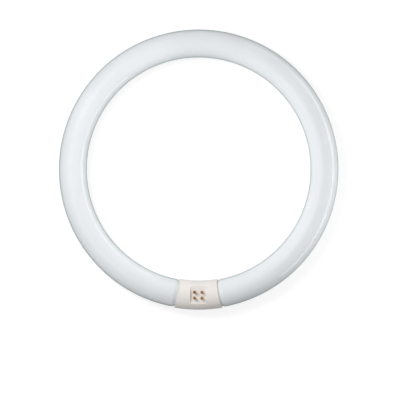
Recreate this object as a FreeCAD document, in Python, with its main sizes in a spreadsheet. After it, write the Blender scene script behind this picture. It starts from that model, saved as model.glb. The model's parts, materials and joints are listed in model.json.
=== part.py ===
import FreeCAD, Part
import math
import os

import Sketcher
from FreeCAD import Placement, Rotation, Vector

# Circular fluorescent lamp. A sealed glass ring is closed by a moulded cap in two halves, which hold
# the two shouldered glass ends. Four contact pins stand in a flat recess of the front half, and a lead
# wire runs from each pin to a glass end.
# Millimetres. The ring lies flat on Z = 0 with its axis on Z, the cap towards -Y and the pins up.

DIMENSIONS = {
    # Glass ring: outside diameter and tube diameter
    "ring_diameter": 300.0,
    "tube_diameter": 30.0,
    # Glass ends: the gap between them, and the straight end with its shoulder and neck
    "end_gap": 26.0,
    "end_straight": 14.5,
    "shoulder_length": 6.2,
    "shoulder_depth": 1.6,
    "rim_round": 2.0,
    # Stem in each glass end: a flare that narrows to the seal, and the exhaust tip that stands out of it
    "flare_mouth_diameter": 19.0,
    "flare_depth": 12.0,
    "seal_diameter": 12.4,
    "exhaust_diameter": 3.4,
    "exhaust_reach": 1.0,
    # Cap: length along the tube, height over the tube, lean of the end faces, wall and edges
    "cap_length": 47.0,
    "cap_proud": 0.7,
    "cap_end_lean": 8.0,
    "cap_wall": 1.2,
    "cap_edge_round": 0.4,
    # Cap mouths and the collars that hold the glass necks and stop the glass ends
    "mouth_wall": 1.6,
    "neck_play": 0.2,
    "end_play": 0.2,
    "collar_length": 4.4,
    "stop_thickness": 1.3,
    "stop_lap": 2.6,
    # Seam between the cap halves: a fine groove outside, a tongue and its slot inside
    "seam_groove": 0.25,
    "tongue_height": 1.0,
    "tongue_thickness": 0.5,
    "tongue_play": 0.1,
    "tongue_setback": 3.0,
    # Recess for the plug
    "recess_width": 17.0,
    "recess_depth": 3.2,
    "floor_thickness": 1.8,
    # Contact pins: pattern, shank above the floor, collar in the floor, flange and wire barrel below
    "pin_pitch_across": 7.92,
    "pin_pitch_along": 6.35,
    "pin_diameter": 2.4,
    "pin_length": 6.6,
    "pin_tip_round": 0.8,
    "pin_collar_diameter": 3.2,
    "pin_play": 0.05,
    "flange_diameter": 4.2,
    "flange_thickness": 0.8,
    "barrel_diameter": 2.0,
    "barrel_length": 2.2,
    "bore_diameter": 1.2,
    "bore_depth": 4.0,
    # Lead wires
    "wire_diameter": 0.7,
    "wire_spread": 9.0,
    "wire_bend": 4.0,
    "wire_play": 0.1,
    "wire_insertion": 3.4,
}

# Radii and places that follow from the sheet
CENTRE_RADIUS = "((dims.ring_diameter - dims.tube_diameter) / 2)"
TUBE_RADIUS = "(dims.tube_diameter / 2)"
NECK_RADIUS = "(dims.tube_diameter / 2 - dims.shoulder_depth)"
CAP_RADIUS = "(dims.tube_diameter / 2 + dims.cap_proud)"
CAVITY_RADIUS = f"({CAP_RADIUS} - dims.cap_wall)"
MIDDLE_HEIGHT = CAP_RADIUS
FLOOR_HEIGHT = f"({CAP_RADIUS} - dims.recess_depth)"

# Angles about the ring's axis, from the middle of the cap: cap end, end of the bend, inner face of a stop
CAP_ANGLE = f"(dims.cap_length / 2 / {CENTRE_RADIUS} * 1 rad)"
BEND_ANGLE = f"((dims.end_gap / 2 + dims.end_straight) / {CENTRE_RADIUS} * 1 rad)"
STOP_INNER_FACE = "(dims.end_straight + dims.end_play + dims.stop_thickness)"
CHAMBER_ANGLE = f"({BEND_ANGLE} - atan({STOP_INNER_FACE} / {CENTRE_RADIUS}))"
TONGUE_ANGLE = f"({CAP_ANGLE} - dims.tongue_setback / {CENTRE_RADIUS} * 1 rad)"
SLOT_ANGLE = f"({TONGUE_ANGLE} + dims.tongue_play / {CENTRE_RADIUS} * 1 rad)"

# How far a cutting outline stands clear of the piece it cuts
CUT_MARGIN = 5.0

doc = FreeCAD.newDocument("circular_fluorescent_tube")
sheet = doc.addObject("Spreadsheet::Sheet", "dims")
for row, (alias, size) in enumerate(DIMENSIONS.items(), start=1):
    sheet.set(f"A{row}", alias)
    sheet.set(f"B{row}", str(size))
    sheet.setAlias(f"B{row}", alias)
doc.recompute()


def value_of(expression):
    """The number that an expression over the sheet gives now."""
    result = sheet.evalExpression(expression)
    return float(getattr(result, "Value", result))


def new_body(label):
    """An empty body whose middle plane is the ring's."""
    body = doc.addObject("PartDesign::Body", label)
    body.Label = label
    body.setExpression("Placement.Base.z", MIDDLE_HEIGHT)
    return body


def origin_feature(body, role):
    """One of the body's own origin planes or axes."""
    return next(feature for feature in body.Origin.OriginFeatures if feature.Role == role)


def new_sketch(body, name, plane, turn_about=None, turn=None, shift=None):
    """A sketch on an origin plane, turned about one of its own axes and shifted in that plane's axes."""
    sketch = body.newObject("Sketcher::SketchObject", name)
    sketch.AttachmentSupport = [(origin_feature(body, plane), "")]
    sketch.MapMode = "FlatFace"
    if turn:
        sketch.AttachmentOffset = Placement(Vector(), Rotation(turn_about, value_of(turn)))
        sketch.setExpression("AttachmentOffset.Rotation.Angle", turn)
    for axis, distance in (shift or {}).items():
        sketch.setExpression(f"AttachmentOffset.Base.{axis}", distance)
    return sketch


def new_end_sketch(body, name):
    """A sketch on the straight right-hand glass end: X runs out along the end's axis, Y is the radius."""
    return new_sketch(
        body,
        name,
        "XY_Plane",
        turn_about=Vector(0, 0, 1),
        turn=f"180 deg + {BEND_ANGLE}",
        shift={
            "x": f"{CENTRE_RADIUS} * sin({BEND_ANGLE})",
            "y": f"-{CENTRE_RADIUS} * cos({BEND_ANGLE})",
        },
    )


def bind(sketch, constraint, name, expression):
    """Add a dimension to a sketch and tie it to the sheet."""
    index = sketch.addConstraint(constraint)
    sketch.renameConstraint(index, name)
    sketch.setExpression(f"Constraints.{name}", expression)


def pin_down(sketch, geometry, point, x, y, name):
    """Dimension one point of a sketch from the sketch's axes."""
    vertical_axis, horizontal_axis = -2, -1
    for kind, axis, place in (("DistanceX", vertical_axis, x), ("DistanceY", horizontal_axis, y)):
        if place == "0":
            sketch.addConstraint(Sketcher.Constraint("PointOnObject", geometry, point, axis))
        else:
            dimension = Sketcher.Constraint(kind, geometry, point, value_of(place))
            bind(sketch, dimension, f"{name}_{kind}", place)


def arc_between(start, end, radius, clockwise):
    """The shorter arc of this radius from start to end."""
    chord = end - start
    left = Vector(-chord.y, chord.x, 0).normalize()
    rise = math.sqrt(max(radius**2 - (chord.Length / 2) ** 2, 0))
    centre = (start + end) * 0.5 + left * (-rise if clockwise else rise)
    first, last = (end, start) if clockwise else (start, end)
    angles = [math.atan2(point.y - centre.y, point.x - centre.x) for point in (first, last)]
    return Part.ArcOfCircle(Part.Circle(centre, Vector(0, 0, 1), radius), *angles)


def draw_outline(sketch, corners, closed=True, name="corner"):
    """Draw an outline through corners (x, y) given as expressions.

    A corner (x, y, turn, radius) starts an arc to the next corner, with turn "left" or "right".
    """
    places = [Vector(value_of(corner[0]), value_of(corner[1]), 0) for corner in corners]
    sides = len(corners) if closed else len(corners) - 1
    ends = []
    for number in range(sides):
        start, end = places[number], places[(number + 1) % len(places)]
        if len(corners[number]) == 2:
            index = sketch.addGeometry(Part.LineSegment(start, end))
            ends.append((index, 1, 2))
            continue
        turn, radius = corners[number][2:]
        clockwise = turn == "right"
        index = sketch.addGeometry(arc_between(start, end, value_of(radius), clockwise))
        ends.append((index, 2, 1) if clockwise else (index, 1, 2))
        bind(sketch, Sketcher.Constraint("Radius", index, value_of(radius)), f"{name}{number}_radius", radius)
    for number, (index, first, last) in enumerate(ends):
        pin_down(sketch, index, first, *corners[number][:2], f"{name}{number}")
        if closed or number + 1 < sides:
            following, start, _ = ends[(number + 1) % sides]
            sketch.addConstraint(Sketcher.Constraint("Coincident", index, last, following, start))
        else:
            pin_down(sketch, index, last, *corners[-1][:2], f"{name}{number + 1}")


def draw_circle(sketch, x, y, radius, name="circle"):
    """Draw a dimensioned circle."""
    centre = Vector(value_of(x), value_of(y), 0)
    index = sketch.addGeometry(Part.Circle(centre, Vector(0, 0, 1), value_of(radius)))
    pin_down(sketch, index, 3, x, y, name)
    bind(sketch, Sketcher.Constraint("Radius", index, value_of(radius)), f"{name}_radius", radius)


def turn_profile(body, kind, name, sketch, axis, angle=None):
    """Revolve or groove a profile: the whole way round, or by an angle shared by both sides."""
    feature = body.newObject(f"PartDesign::{kind}", name)
    feature.Profile = sketch
    feature.ReferenceAxis = axis
    if angle:
        feature.Midplane = True
        feature.setExpression("Angle", angle)
    else:
        feature.Angle = 360
    return feature


def mirror(body, name, feature):
    """Repeat a feature of the right-hand side on the left-hand side."""
    copy = body.newObject("PartDesign::Mirrored", name)
    copy.Originals = [feature]
    copy.MirrorPlane = (origin_feature(body, "YZ_Plane"), [""])
    body.Tip = copy
    return copy


def make_glass_tube():
    """The sealed glass ring: a bent tube, open towards -Y, with a shouldered neck and stem at each end."""
    body = new_body("glass_tube")
    section = new_sketch(body, "tube_section", "YZ_Plane")
    draw_circle(section, CENTRE_RADIUS, "0", TUBE_RADIUS)
    ring_axis = (origin_feature(body, "Z_Axis"), [""])
    turn_profile(body, "Revolution", "bend", section, ring_axis, f"360 deg - 2 * {BEND_ANGLE}")

    end = new_end_sketch(body, "end_profile")
    shoulder_radius = "((dims.shoulder_length / 2)^2 + (dims.shoulder_depth / 2)^2) / dims.shoulder_depth"
    exhaust_radius = "dims.exhaust_diameter / 2"
    seal_face = "dims.end_straight - dims.flare_depth"
    exhaust_end = "dims.end_straight + dims.exhaust_reach"
    draw_outline(
        end,
        [
            ("0", "0"),
            ("0", TUBE_RADIUS, "right", shoulder_radius),
            ("dims.shoulder_length / 2", f"{TUBE_RADIUS} - dims.shoulder_depth / 2", "left", shoulder_radius),
            ("dims.shoulder_length", NECK_RADIUS),
            ("dims.end_straight - dims.rim_round", NECK_RADIUS, "right", "dims.rim_round"),
            ("dims.end_straight", f"{NECK_RADIUS} - dims.rim_round"),
            ("dims.end_straight", "dims.flare_mouth_diameter / 2"),
            (seal_face, "dims.seal_diameter / 2"),
            (seal_face, exhaust_radius),
            (f"{exhaust_end} - {exhaust_radius}", exhaust_radius, "right", exhaust_radius),
            (exhaust_end, "0"),
        ],
    )
    right_end = turn_profile(body, "Revolution", "right_end", end, (end, ["H_Axis"]))
    mirror(body, "left_end", right_end)
    return body


def lean_cap_ends(body, up):
    """Cut both end faces of a cap half so that they lean towards the middle of the cap."""
    cut = new_sketch(body, "end_lean", "XZ_Plane", turn_about=Vector(0, 1, 0), turn=CAP_ANGLE)
    top = f"{up} * ({CAP_RADIUS} + {CUT_MARGIN})"
    draw_outline(
        cut,
        [
            ("0", "0"),
            (f"-({CAP_RADIUS} + {CUT_MARGIN}) * tan(dims.cap_end_lean)", top),
            (f"{CUT_MARGIN}", top),
            (f"{CUT_MARGIN}", "0"),
        ],
    )
    pocket = body.newObject("PartDesign::Pocket", "right_lean")
    pocket.Profile = cut
    pocket.SideType = "Symmetric"
    pocket.Type = "ThroughAll"
    return mirror(body, "left_lean", pocket)


def round_cap_ends(body, leaned):
    """Round the outer edge of both end faces of a cap half."""
    doc.recompute()
    middle, outer = value_of(CENTRE_RADIUS), value_of(CAP_RADIUS)
    end_angle = math.radians(value_of(CAP_ANGLE))
    lean = math.tan(math.radians(value_of("dims.cap_end_lean")))
    tolerance = 0.01

    def on_end_rim(point):
        across = math.hypot(math.hypot(point.x, point.y) - middle, point.z)
        along = abs(point.x) * math.cos(end_angle) + point.y * math.sin(end_angle)
        return abs(across - outer) < tolerance and abs(along + abs(point.z) * lean) < tolerance

    rims = [
        f"Edge{number}"
        for number, edge in enumerate(leaned.Shape.Edges, start=1)
        if all(on_end_rim(point) for point in edge.discretize(7))
    ]
    fillet = body.newObject("PartDesign::Fillet", "end_rounds")
    fillet.Base = (leaned, rims)
    fillet.setExpression("Radius", "dims.cap_edge_round")
    return fillet


def bore_cap_ends(body):
    """Bore both ends of a cap half: a mouth over the shoulder, a collar on the neck and a stop with a window."""
    bore = new_end_sketch(body, "end_bore")
    mouth_radius = f"{CAP_RADIUS} - dims.mouth_wall"
    collar_radius = f"{NECK_RADIUS} + dims.neck_play"
    window_radius = f"{NECK_RADIUS} - dims.stop_lap"
    stop_face = "dims.end_straight + dims.end_play"
    collar_start = f"{stop_face} - dims.collar_length"
    draw_outline(
        bore,
        [
            (f"-{CUT_MARGIN}", "0"),
            (f"-{CUT_MARGIN}", mouth_radius),
            (collar_start, mouth_radius),
            (collar_start, collar_radius),
            (stop_face, collar_radius),
            (stop_face, window_radius),
            (f"{STOP_INNER_FACE} + {CUT_MARGIN}", window_radius),
            (f"{STOP_INNER_FACE} + {CUT_MARGIN}", "0"),
        ],
    )
    right_bore = turn_profile(body, "Groove", "right_bore", bore, (bore, ["H_Axis"]))
    mirror(body, "left_bore", right_bore)


def seam_band(body, name, up, play):
    """A sketch of the two seam strips, one at the inside and one at the outside of the ring."""
    band = new_sketch(body, name, "YZ_Plane")
    inner = f"({CAVITY_RADIUS} - {play})"
    outer = f"({CAVITY_RADIUS} + dims.tongue_thickness + {play})"
    top = f"{up} * (dims.tongue_height + {play})"
    for side, sign in (("near", "+"), ("far", "-")):
        draw_outline(
            band,
            [
                (f"-{CENTRE_RADIUS} {sign} {inner}", "0"),
                (f"-{CENTRE_RADIUS} {sign} {inner}", top),
                (f"-{CENTRE_RADIUS} {sign} {outer}", top),
                (f"-{CENTRE_RADIUS} {sign} {outer}", "0"),
            ],
            name=side,
        )
    return band


def make_cap_half(label, up):
    """One half of the cap without its seam strips or recess. up is 1 for the front half, -1 for the rear."""
    body = new_body(label)
    ring_axis = (origin_feature(body, "Z_Axis"), [""])
    turn = {1: "left", -1: "right"}[up]

    section = new_sketch(body, "cap_section", "YZ_Plane")
    groove_reach = f"sqrt({CAP_RADIUS}^2 - dims.seam_groove^2)"
    draw_outline(
        section,
        [
            (f"-{CENTRE_RADIUS} + {CAP_RADIUS} - dims.seam_groove", "0"),
            (f"-{CENTRE_RADIUS} + {groove_reach}", f"{up} * dims.seam_groove", turn, CAP_RADIUS),
            (f"-{CENTRE_RADIUS}", f"{up} * {CAP_RADIUS}", turn, CAP_RADIUS),
            (f"-{CENTRE_RADIUS} - {groove_reach}", f"{up} * dims.seam_groove"),
            (f"-{CENTRE_RADIUS} - {CAP_RADIUS} + dims.seam_groove", "0"),
        ],
    )
    turn_profile(body, "Revolution", "cap_block", section, ring_axis, f"2 * {CAP_ANGLE}")
    round_cap_ends(body, lean_cap_ends(body, up))
    bore_cap_ends(body)

    cavity = new_sketch(body, "cavity_section", "YZ_Plane")
    draw_outline(
        cavity,
        [
            (f"-{CENTRE_RADIUS} + {CAVITY_RADIUS}", "0", turn, CAVITY_RADIUS),
            (f"-{CENTRE_RADIUS}", f"{up} * {CAVITY_RADIUS}", turn, CAVITY_RADIUS),
            (f"-{CENTRE_RADIUS} - {CAVITY_RADIUS}", "0"),
        ],
    )
    turn_profile(body, "Groove", "chamber", cavity, ring_axis, f"2 * {CHAMBER_ANGLE}")
    return body


def make_front_shell():
    """The front half of the cap, with the seam slot, the recess across its crest and the pin holes."""
    body = make_cap_half("cap_front_shell", 1)
    ring_axis = (origin_feature(body, "Z_Axis"), [""])
    slot = seam_band(body, "slot_section", 1, "dims.tongue_play")
    turn_profile(body, "Groove", "seam_slot", slot, ring_axis, f"2 * {SLOT_ANGLE}")

    box = new_sketch(body, "recess_box_section", "YZ_Plane")
    box_radius = f"({CAP_RADIUS} - dims.cap_wall / 2)"
    underside = f"({FLOOR_HEIGHT} - dims.floor_thickness)"
    half_chord = f"sqrt({box_radius}^2 - {underside}^2)"
    draw_outline(
        box,
        [
            (f"-{CENTRE_RADIUS} + {half_chord}", underside, "left", box_radius),
            (f"-{CENTRE_RADIUS}", box_radius, "left", box_radius),
            (f"-{CENTRE_RADIUS} - {half_chord}", underside),
        ],
    )
    recess_box = body.newObject("PartDesign::Pad", "recess_box")
    recess_box.Profile = box
    recess_box.SideType = "Symmetric"
    recess_box.setExpression("Length", "dims.recess_width + 2 * dims.cap_wall")

    opening = new_sketch(body, "recess_opening", "XY_Plane", shift={"z": FLOOR_HEIGHT})
    draw_outline(
        opening,
        [
            ("-dims.recess_width / 2", f"-{CENTRE_RADIUS} - {CAP_RADIUS}"),
            ("dims.recess_width / 2", f"-{CENTRE_RADIUS} - {CAP_RADIUS}"),
            ("dims.recess_width / 2", f"-{CENTRE_RADIUS} + {CAP_RADIUS}"),
            ("-dims.recess_width / 2", f"-{CENTRE_RADIUS} + {CAP_RADIUS}"),
        ],
    )
    recess = body.newObject("PartDesign::Pocket", "recess")
    recess.Profile = opening
    recess.Type = "ThroughAll"
    recess.Reversed = True

    circles = new_sketch(body, "pin_hole_circles", "XY_Plane", shift={"z": FLOOR_HEIGHT})
    for name, x, y in pin_places():
        draw_circle(circles, x, y, "dims.pin_collar_diameter / 2 + dims.pin_play", name)
    holes = body.newObject("PartDesign::Pocket", "pin_holes")
    holes.Profile = circles
    holes.Type = "ThroughAll"
    return body


def make_rear_shell():
    """The rear half of the cap, with the tongue that enters the front half."""
    body = make_cap_half("cap_rear_shell", -1)
    ring_axis = (origin_feature(body, "Z_Axis"), [""])
    tongue = seam_band(body, "tongue_section", 1, 0)
    turn_profile(body, "Revolution", "seam_tongue", tongue, ring_axis, f"2 * {TONGUE_ANGLE}")
    return body


def pin_places():
    """The name of each pin and its place about the ring's axis: inner pins are nearer the ring's middle."""
    for side, across in (("left", "-"), ("right", "")):
        for row, along in (("inner", "+"), ("outer", "-")):
            x = f"{across}dims.pin_pitch_across / 2"
            y = f"-{CENTRE_RADIUS} {along} dims.pin_pitch_along / 2"
            yield f"{side}_{row}", x, y


def make_contact_pin(name, x, y):
    """A turned brass pin: round-ended shank, collar in the recess floor, flange and wire barrel below it."""
    body = new_body(f"contact_pin_{name}")
    body.setExpression("Placement.Base.x", x)
    body.setExpression("Placement.Base.y", y)
    body.setExpression("Placement.Base.z", f"{MIDDLE_HEIGHT} + {FLOOR_HEIGHT}")
    profile = new_sketch(body, "pin_profile", "XZ_Plane")
    shank, collar = "dims.pin_diameter / 2", "dims.pin_collar_diameter / 2"
    flange, barrel, bore = "dims.flange_diameter / 2", "dims.barrel_diameter / 2", "dims.bore_diameter / 2"
    flange_top = "-dims.floor_thickness"
    flange_foot = f"{flange_top} - dims.flange_thickness"
    barrel_foot = f"{flange_foot} - dims.barrel_length"
    bore_end = f"{barrel_foot} + dims.bore_depth"
    draw_outline(
        profile,
        [
            ("0", "dims.pin_length"),
            (f"{shank} - dims.pin_tip_round", "dims.pin_length", "right", "dims.pin_tip_round"),
            (shank, "dims.pin_length - dims.pin_tip_round"),
            (shank, "0"),
            (collar, "0"),
            (collar, flange_top),
            (flange, flange_top),
            (flange, flange_foot),
            (barrel, flange_foot),
            (barrel, barrel_foot),
            (bore, barrel_foot),
            (bore, bore_end),
            ("0", bore_end),
        ],
    )
    turn_profile(body, "Revolution", "pin", profile, (profile, ["V_Axis"]))
    return body


def make_lead_wire(name, x, y):
    """A wire from the seal of the nearer glass end, along the end and up into the barrel of its pin."""
    side, row = name.split("_")
    out = "-" if side == "left" else ""
    offset = "-" if row == "inner" else "+"
    seal_along = "(dims.end_straight - dims.flare_depth)"
    seal_across = f"({CENTRE_RADIUS} {offset} dims.wire_spread / 2)"
    seal_x = f"({out}(sin({BEND_ANGLE}) * {seal_across} - cos({BEND_ANGLE}) * {seal_along}))"
    seal_y = f"(-cos({BEND_ANGLE}) * {seal_across} - sin({BEND_ANGLE}) * {seal_along})"
    to_seal_x, to_seal_y = f"({seal_x} - ({x}))", f"({seal_y} - ({y}))"
    run = f"(sqrt({to_seal_x}^2 + {to_seal_y}^2) - dims.wire_play)"
    barrel_foot = f"({FLOOR_HEIGHT} - dims.floor_thickness - dims.flange_thickness - dims.barrel_length)"

    body = new_body(f"lead_wire_{name}")
    heading = f"atan2({to_seal_y}; {to_seal_x})"
    body.Placement = Placement(Vector(), Rotation(Vector(0, 0, 1), value_of(heading)))
    body.setExpression("Placement.Rotation.Angle", heading)
    body.setExpression("Placement.Base.x", x)
    body.setExpression("Placement.Base.y", y)
    path = new_sketch(body, "wire_path", "XZ_Plane")
    draw_outline(
        path,
        [
            (run, "0"),
            ("dims.wire_bend", "0", "right", "dims.wire_bend"),
            ("0", "dims.wire_bend"),
            ("0", f"{barrel_foot} + dims.wire_insertion"),
        ],
        closed=False,
    )
    section = new_sketch(body, "wire_section", "YZ_Plane", shift={"z": run})
    draw_circle(section, "0", "0", "dims.wire_diameter / 2")
    wire = body.newObject("PartDesign::AdditivePipe", "wire")
    wire.Profile = section
    wire.Spine = (path, ["Edge1", "Edge2", "Edge3"])
    return body


def check_document(bodies):
    """Stop if a feature failed, a cut removed nothing or a piece isn't one valid solid."""
    for item in doc.Objects:
        if "Invalid" in item.State or "Error" in item.State:
            raise RuntimeError(f"{item.Label} failed: {item.State}")
        if item.TypeId in ("PartDesign::Pocket", "PartDesign::Groove"):
            if item.Shape.Volume >= item.BaseFeature.Shape.Volume:
                raise RuntimeError(f"{item.Label} removes nothing")
    for body in bodies:
        if body.Shape.isNull() or not body.Shape.isValid() or len(body.Shape.Solids) != 1:
            raise RuntimeError(f"{body.Label} isn't one valid solid")


pieces = [make_glass_tube(), make_front_shell(), make_rear_shell()]
pieces += [make_contact_pin(*place) for place in pin_places()]
pieces += [make_lead_wire(*place) for place in pin_places()]
doc.recompute()
check_document(pieces)

os.makedirs("parts", exist_ok=True)
for piece in pieces:
    piece.Shape.exportStep(f"parts/{piece.Label}.step")
    print(f"{piece.Label}: {piece.Shape.Volume:.1f} mm3")
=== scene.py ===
import json
import math

import bpy
from mathutils import Euler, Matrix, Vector


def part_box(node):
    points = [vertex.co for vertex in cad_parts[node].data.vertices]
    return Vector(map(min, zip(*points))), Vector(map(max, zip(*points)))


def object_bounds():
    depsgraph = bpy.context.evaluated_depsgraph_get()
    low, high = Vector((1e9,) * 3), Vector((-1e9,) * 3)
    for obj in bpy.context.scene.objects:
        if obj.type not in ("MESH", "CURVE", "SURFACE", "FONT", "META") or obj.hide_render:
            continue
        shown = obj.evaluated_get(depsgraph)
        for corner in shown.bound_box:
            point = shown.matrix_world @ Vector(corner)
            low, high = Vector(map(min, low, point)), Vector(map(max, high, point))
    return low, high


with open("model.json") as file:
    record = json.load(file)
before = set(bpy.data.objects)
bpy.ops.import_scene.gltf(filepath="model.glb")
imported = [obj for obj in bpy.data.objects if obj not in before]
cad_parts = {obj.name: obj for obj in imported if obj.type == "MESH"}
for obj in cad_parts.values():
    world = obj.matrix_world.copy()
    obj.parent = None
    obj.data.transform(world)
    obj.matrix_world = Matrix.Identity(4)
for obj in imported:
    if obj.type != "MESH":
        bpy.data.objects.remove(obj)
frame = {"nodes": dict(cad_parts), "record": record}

# Circular fluorescent lamp lying on a white studio floor, seen straight from above.
# Metres. The ring's axis is Z, the cap lies towards -Y and the contact pins point up.

cad_low, cad_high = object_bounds()

# Framing of the photograph, in its own pixels
FRAME_PIXELS = 400
RING_PIXELS = 279.6
RING_CENTRE_PIXEL = (198.7, 169.3)
CAMERA_DISTANCE = 12.0
CAMERA_ROLL = math.radians(0.2)

# Ring sizes, from the frame
glass_low, glass_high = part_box("glass_tube")
RING_RADIUS = glass_high.x
TUBE_RADIUS = (glass_high.z - glass_low.z) / 2
CENTRE_RADIUS = RING_RADIUS - TUBE_RADIUS
MIDDLE_HEIGHT = (glass_low.z + glass_high.z) / 2
MIDDLE = Vector((0, 0, MIDDLE_HEIGHT))

# Glass: how far a surface is turned away from the viewer (0 facing, 1 edge-on) where a darker rim colour
# begins and where it is full (partly the clear wall's tint, partly painted shade), its gloss, and the waves in
# it along the tube and round it
EDGE_ON_FROM = 0.5
EDGE_ON_FULL = 0.78
GLASS_GLOSS = 0.45
WAVES_PER_METRE = (14.0, 90.0, 0.0)
WAVE_STRENGTH = 0.005
WAVE_HEIGHT = 0.0006

# Floor: its size, the share of light that it sends back onto the object, and how it looks when seen directly,
# with a glow that rises from a nearer to a farther distance
FLOOR_SIZE = 12.0
FLOOR_BOUNCE = (0.2, 0.2, 0.2, 1.0)
FLOOR_WHITE = (0.34, 0.34, 0.34, 1.0)
FLOOR_GLOW_NEAR = 0.78
FLOOR_GLOW_FAR = 1.0
FLOOR_NEAR = 0.35
FLOOR_FAR = 1.3

# World: how bright it looks, and how strongly it lights the object
BACKDROP_STRENGTH = 1.0
AMBIENT_STRENGTH = 0.388

# Lamps that light the surfaces and show in no reflection: the main one from the upper left, and low ones
# beside the ring. Each has its place as above_ring takes it, its width and height, and its brightness
SURFACE_LAMPS = {
    "key_lamp": ((33, 149, 1.1), (0.34, 0.52), 11.6),
    "right_lamp": ((83, -18, 0.36), (0.2, 0.07), 5.2),
    "back_right_lamp": ((83, 32, 0.36), (0.2, 0.07), 3.0),
    "front_left_lamp": ((78, 230, 0.38), (0.22, 0.12), 0.7),
}

# Small surface lamps hung over the ring's middle: the side that each faces, as an angle round from +X, and
# its brightness
INNER_LAMP_PLACE = (0, 0, 0.05)
INNER_LAMP_SIZE = (0.1, 0.05)
INNER_LAMPS = ((0, 1.95), (90, 0.65), (180, 2.45), (270, 0.25))

# Panels that only show as reflections in the glass: a large one on the left and an arc of low strips on the
# right, each strip with its angle round from +X and its brightness
LEFT_PANEL_PLACE = (26, 178, 2.1)
LEFT_PANEL_SIZE = (1.9, 1.3)
LEFT_PANEL_BRIGHTNESS = 2.1
STRIP_POLAR = 79.5
STRIP_DISTANCE = 1.0
STRIP_SIZE = (0.42, 0.34)
STRIPS = ((320, 4.8), (344, 5.4), (8, 5.4), (32, 5.4), (56, 2.8))

scene = bpy.context.scene
scene.view_settings.view_transform = "Standard"


class Nodes:
    """The node tree of a material or world, emptied, with short ways to add and join nodes."""

    def __init__(self, owner):
        owner.use_nodes = True
        self.tree = owner.node_tree
        self.tree.nodes.clear()

    def add(self, kind, inputs=None, **settings):
        """A new node. Inputs are values or other nodes' outputs, by socket name or number."""
        node = self.tree.nodes.new(f"ShaderNode{kind}")
        for name, value in settings.items():
            setattr(node, name, value)
        for name, value in (inputs or {}).items():
            socket = node.inputs[name]
            if isinstance(value, bpy.types.NodeSocket):
                self.tree.links.new(value, socket)
            else:
                socket.default_value = value
        return node

    def math(self, operation, first, second=0.0):
        return self.add("Math", {0: first, 1: second}, operation=operation).outputs[0]

    def ramp(self, factor, *stops):
        """A colour ramp through (place, colour) stops."""
        node = self.add("ValToRGB", {"Fac": factor})
        points = node.color_ramp.elements
        while len(points) < len(stops):
            points.new(0.5)
        for point, (place, colour) in zip(points, stops):
            point.position = place
            point.color = colour
        return node.outputs["Color"]

    def mix(self, share, first, second):
        """A blend of two colours, with the given share of the second."""
        inputs = {"Fac": share, "Color1": first, "Color2": second}
        return self.add("MixRGB", inputs).outputs["Color"]

    def noise(self, where, scale, detail=2.0, roughness=0.5):
        inputs = {"Vector": where, "Scale": scale, "Detail": detail, "Roughness": roughness}
        return self.add("TexNoise", inputs).outputs["Fac"]

    def spread(self, value, low, high):
        """Map 0 to 1 onto low to high."""
        return self.add("MapRange", {"Value": value, "To Min": low, "To Max": high}).outputs["Result"]

    def bump(self, height, strength, distance):
        inputs = {"Height": height, "Strength": strength, "Distance": distance}
        return self.add("Bump", inputs).outputs["Normal"]

    def finish(self, shader, output="OutputMaterial"):
        """Lead a shader to the output."""
        self.tree.links.new(shader, self.add(output).inputs["Surface"])


def srgb(red, green, blue):
    """A colour given as 0 to 255 screen values, in Blender's linear values."""
    levels = (value / 255 for value in (red, green, blue))
    return (*(v / 12.92 if v <= 0.04045 else ((v + 0.055) / 1.055) ** 2.4 for v in levels), 1.0)


def new_material(name):
    material = bpy.data.materials.new(name)
    return material, Nodes(material)


def ring_coordinates(nodes):
    """Lengths along the tube and round its section, as a vector in metres."""
    place = nodes.add("SeparateXYZ", {"Vector": nodes.add("NewGeometry").outputs["Position"]})
    x, y, z = (place.outputs[axis] for axis in "XYZ")
    along = nodes.math("MULTIPLY", nodes.math("ARCTAN2", x, y), CENTRE_RADIUS)
    squares = nodes.math("ADD", nodes.math("MULTIPLY", x, x), nodes.math("MULTIPLY", y, y))
    outward = nodes.math("SUBTRACT", nodes.math("SQRT", squares), CENTRE_RADIUS)
    upward = nodes.math("SUBTRACT", z, MIDDLE_HEIGHT)
    around = nodes.math("MULTIPLY", nodes.math("ARCTAN2", outward, upward), TUBE_RADIUS)
    return nodes.add("CombineXYZ", {"X": along, "Y": around}).outputs["Vector"]


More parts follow.
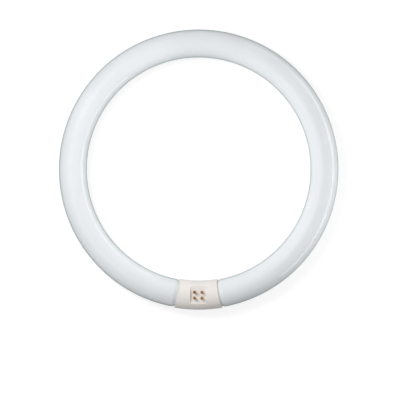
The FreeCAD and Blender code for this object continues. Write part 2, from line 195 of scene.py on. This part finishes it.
def coated_glass():
    """Clear glass, faintly waved along the tube, over a white powder coating that is a little uneven.

    Where the glass is seen edge-on, its colour darkens towards a green-grey, partly the clear wall's tint and
    partly painted shade along the rims, and its gloss eases off.
    """
    material, nodes = new_material("coated_glass")
    where = nodes.add("NewGeometry").outputs["Position"]
    clouds = nodes.noise(where, 22.0, detail=3.0)
    powder = nodes.noise(where, 900.0, detail=2.0)
    coating = nodes.math("ADD", nodes.math("MULTIPLY", clouds, 0.75), nodes.math("MULTIPLY", powder, 0.25))
    powder_colour = nodes.ramp(coating, (0.3, srgb(234, 238, 240)), (0.7, srgb(240, 244, 246)))
    # painted shade: this darker green-grey, mixed in where the glass is seen edge-on, stands partly for the
    # clear wall's tint and partly for shade along the tube's rims
    wall_tint_and_painted_rim_shade = nodes.ramp(coating, (0.3, srgb(188, 201, 201)), (0.7, srgb(194, 207, 207)))
    facing = nodes.add("LayerWeight", {"Blend": 0.5}).outputs["Facing"]
    turned = {"Value": facing, "From Min": EDGE_ON_FROM, "From Max": EDGE_ON_FULL}
    edge_on = nodes.add("MapRange", turned).outputs["Result"]
    colour = nodes.mix(edge_on, powder_colour, wall_tint_and_painted_rim_shade)
    drawn = {0: ring_coordinates(nodes), 1: WAVES_PER_METRE}
    waves = nodes.noise(nodes.add("VectorMath", drawn, operation="MULTIPLY").outputs[0], 1.0)
    shader = nodes.add(
        "BsdfPrincipled",
        {
            "Base Color": colour,
            "Roughness": 0.55,
            "IOR": 1.5,
            "Specular IOR Level": 0.1,
            "Coat Weight": nodes.spread(edge_on, GLASS_GLOSS, 0.0),
            "Coat Roughness": 0.05,
            "Coat IOR": 1.5,
            "Coat Normal": nodes.bump(waves, WAVE_STRENGTH, WAVE_HEIGHT),
        },
    )
    nodes.finish(shader.outputs[0])
    return material


def cap_plastic():
    """Warm white moulded plastic with a fine grain."""
    material, nodes = new_material("cap_plastic")
    where = nodes.add("NewGeometry").outputs["Position"]
    flow = nodes.noise(where, 70.0, detail=3.0)
    grain = nodes.noise(where, 2600.0, detail=2.0)
    colour = nodes.ramp(flow, (0.3, srgb(244, 239, 233)), (0.7, srgb(249, 244, 239)))
    shader = nodes.add(
        "BsdfPrincipled",
        {
            "Base Color": colour,
            "Roughness": nodes.spread(grain, 0.42, 0.58),
            "IOR": 1.5,
            "Specular IOR Level": 0.35,
            "Normal": nodes.bump(grain, 0.25, 0.0001),
        },
    )
    nodes.finish(shader.outputs[0])
    return material


def pin_brass():
    """Dull brass with turning marks and a tarnish that varies."""
    material, nodes = new_material("pin_brass")
    where = nodes.add("NewGeometry").outputs["Position"]
    tarnish = nodes.noise(where, 420.0, detail=4.0)
    turning = nodes.add(
        "TexWave",
        {"Vector": where, "Scale": 900.0, "Distortion": 1.5},
        wave_type="BANDS",
        bands_direction="Z",
    ).outputs["Fac"]
    colour = nodes.ramp(tarnish, (0.3, srgb(108, 72, 36)), (0.7, srgb(152, 106, 58)))
    shader = nodes.add(
        "BsdfPrincipled",
        {
            "Base Color": colour,
            "Metallic": 1.0,
            "Roughness": nodes.spread(tarnish, 0.28, 0.48),
            "Normal": nodes.bump(turning, 0.15, 0.00005),
        },
    )
    nodes.finish(shader.outputs[0])
    return material


def lead_wire():
    """Plated wire with fine drawing marks."""
    material, nodes = new_material("lead_wire")
    where = nodes.add("NewGeometry").outputs["Position"]
    marks = nodes.noise(where, 1500.0, detail=3.0)
    shader = nodes.add(
        "BsdfPrincipled",
        {
            "Base Color": nodes.ramp(marks, (0.3, srgb(176, 174, 170)), (0.7, srgb(202, 200, 196))),
            "Metallic": 1.0,
            "Roughness": nodes.spread(marks, 0.25, 0.4),
        },
    )
    nodes.finish(shader.outputs[0])
    return material


def seen_directly(nodes):
    """1 for rays that show the background: from the camera, a reflection or through glass."""
    path = nodes.add("LightPath").outputs
    direct = nodes.math("ADD", path["Is Camera Ray"], path["Is Glossy Ray"])
    total = nodes.add("Math", {0: direct, 1: path["Is Transmission Ray"]}, operation="ADD", use_clamp=True)
    return total.outputs[0]


def studio_floor():
    """A white floor that shows the object's shadow and sends only part of the light back onto the object."""
    material, nodes = new_material("studio_floor")
    direct = seen_directly(nodes)
    colour = nodes.ramp(direct, (0.0, FLOOR_BOUNCE), (1.0, FLOOR_WHITE))
    diffuse = nodes.add("BsdfDiffuse", {"Color": colour}).outputs[0]
    place = nodes.add("NewGeometry").outputs["Position"]
    distance = nodes.add("VectorMath", {0: place}, operation="LENGTH").outputs["Value"]
    reach = {"Value": distance, "From Min": FLOOR_NEAR, "From Max": FLOOR_FAR}
    levels = {"To Min": FLOOR_GLOW_NEAR, "To Max": FLOOR_GLOW_FAR}
    level = nodes.add("MapRange", {**reach, **levels}).outputs["Result"]
    glow = nodes.add("Emission", {"Strength": nodes.math("MULTIPLY", direct, level)}).outputs[0]
    nodes.finish(nodes.add("AddShader", {0: diffuse, 1: glow}).outputs[0])
    return material


finishes = {
    "coated_glass": coated_glass(),
    "cap_plastic": cap_plastic(),
    "pin_brass": pin_brass(),
    "lead_wire": lead_wire(),
}
for subpart in frame["record"]["subparts"]:
    mesh = frame["nodes"][subpart["node"]].data
    mesh.materials.clear()
    mesh.materials.append(finishes[subpart["material_slot"]])

bpy.ops.mesh.primitive_plane_add(size=FLOOR_SIZE, location=(0, 0, cad_low.z))
floor = bpy.context.object
floor.name = "studio_floor"
floor.data.materials.append(studio_floor())


def above_ring(polar, azimuth, distance):
    """A point at an angle from straight up, an angle round from +X and a distance from the ring's middle."""
    tilt, turn = math.radians(polar), math.radians(azimuth)
    out = Vector((math.sin(tilt) * math.cos(turn), math.sin(tilt) * math.sin(turn), math.cos(tilt)))
    return out * distance + MIDDLE


def softbox(name, place, size, brightness, aim=MIDDLE, lighting=True, mirrored=True):
    """A rectangular lamp that faces a point. Its face has the given brightness, where 1 would render white."""
    data = bpy.data.lights.new(name, "AREA")
    data.shape = "RECTANGLE"
    data.size, data.size_y = size
    data.energy = brightness * math.pi * data.size * data.size_y
    lamp = bpy.data.objects.new(name, data)
    lamp.location = place
    lamp.rotation_euler = (place - aim).to_track_quat("Z", "Y").to_euler()
    lamp.visible_camera = False
    lamp.visible_diffuse = lighting
    lamp.visible_glossy = mirrored
    scene.collection.objects.link(lamp)


for name, (place, size, brightness) in SURFACE_LAMPS.items():
    softbox(name, above_ring(*place), size, brightness, mirrored=False)
for azimuth, brightness in INNER_LAMPS:
    place, side = above_ring(*INNER_LAMP_PLACE), above_ring(90, azimuth, CENTRE_RADIUS)
    softbox(f"inner_lamp_{azimuth}", place, INNER_LAMP_SIZE, brightness, aim=side, mirrored=False)
softbox("left_panel", above_ring(*LEFT_PANEL_PLACE), LEFT_PANEL_SIZE, LEFT_PANEL_BRIGHTNESS, lighting=False)
for azimuth, brightness in STRIPS:
    place = above_ring(STRIP_POLAR, azimuth, STRIP_DISTANCE)
    softbox(f"right_strip_{azimuth}", place, STRIP_SIZE, brightness, lighting=False)

world = bpy.data.worlds.new("studio")
scene.world = world
sky = Nodes(world)
direct = seen_directly(sky)
backdrop = sky.add("Background", {"Color": (1, 1, 1, 1), "Strength": BACKDROP_STRENGTH}).outputs[0]
ambient = sky.add("Background", {"Color": (1, 1, 1, 1), "Strength": AMBIENT_STRENGTH}).outputs[0]
sky.finish(sky.add("MixShader", {0: direct, 1: ambient, 2: backdrop}).outputs[0], "OutputWorld")

pixel = 2 * RING_RADIUS / RING_PIXELS
camera_data = bpy.data.cameras.new("camera")
camera_data.angle = 2 * math.atan(FRAME_PIXELS / 2 * pixel / CAMERA_DISTANCE)
camera = bpy.data.objects.new("camera", camera_data)
aim_right = (FRAME_PIXELS / 2 - RING_CENTRE_PIXEL[0]) * pixel
aim_up = (RING_CENTRE_PIXEL[1] - FRAME_PIXELS / 2) * pixel
camera.location = Vector((aim_right, aim_up, MIDDLE_HEIGHT + CAMERA_DISTANCE))
camera.location.rotate(Euler((0, 0, CAMERA_ROLL)))
camera.rotation_euler = (0, 0, CAMERA_ROLL)
scene.collection.objects.link(camera)
scene.camera = camera
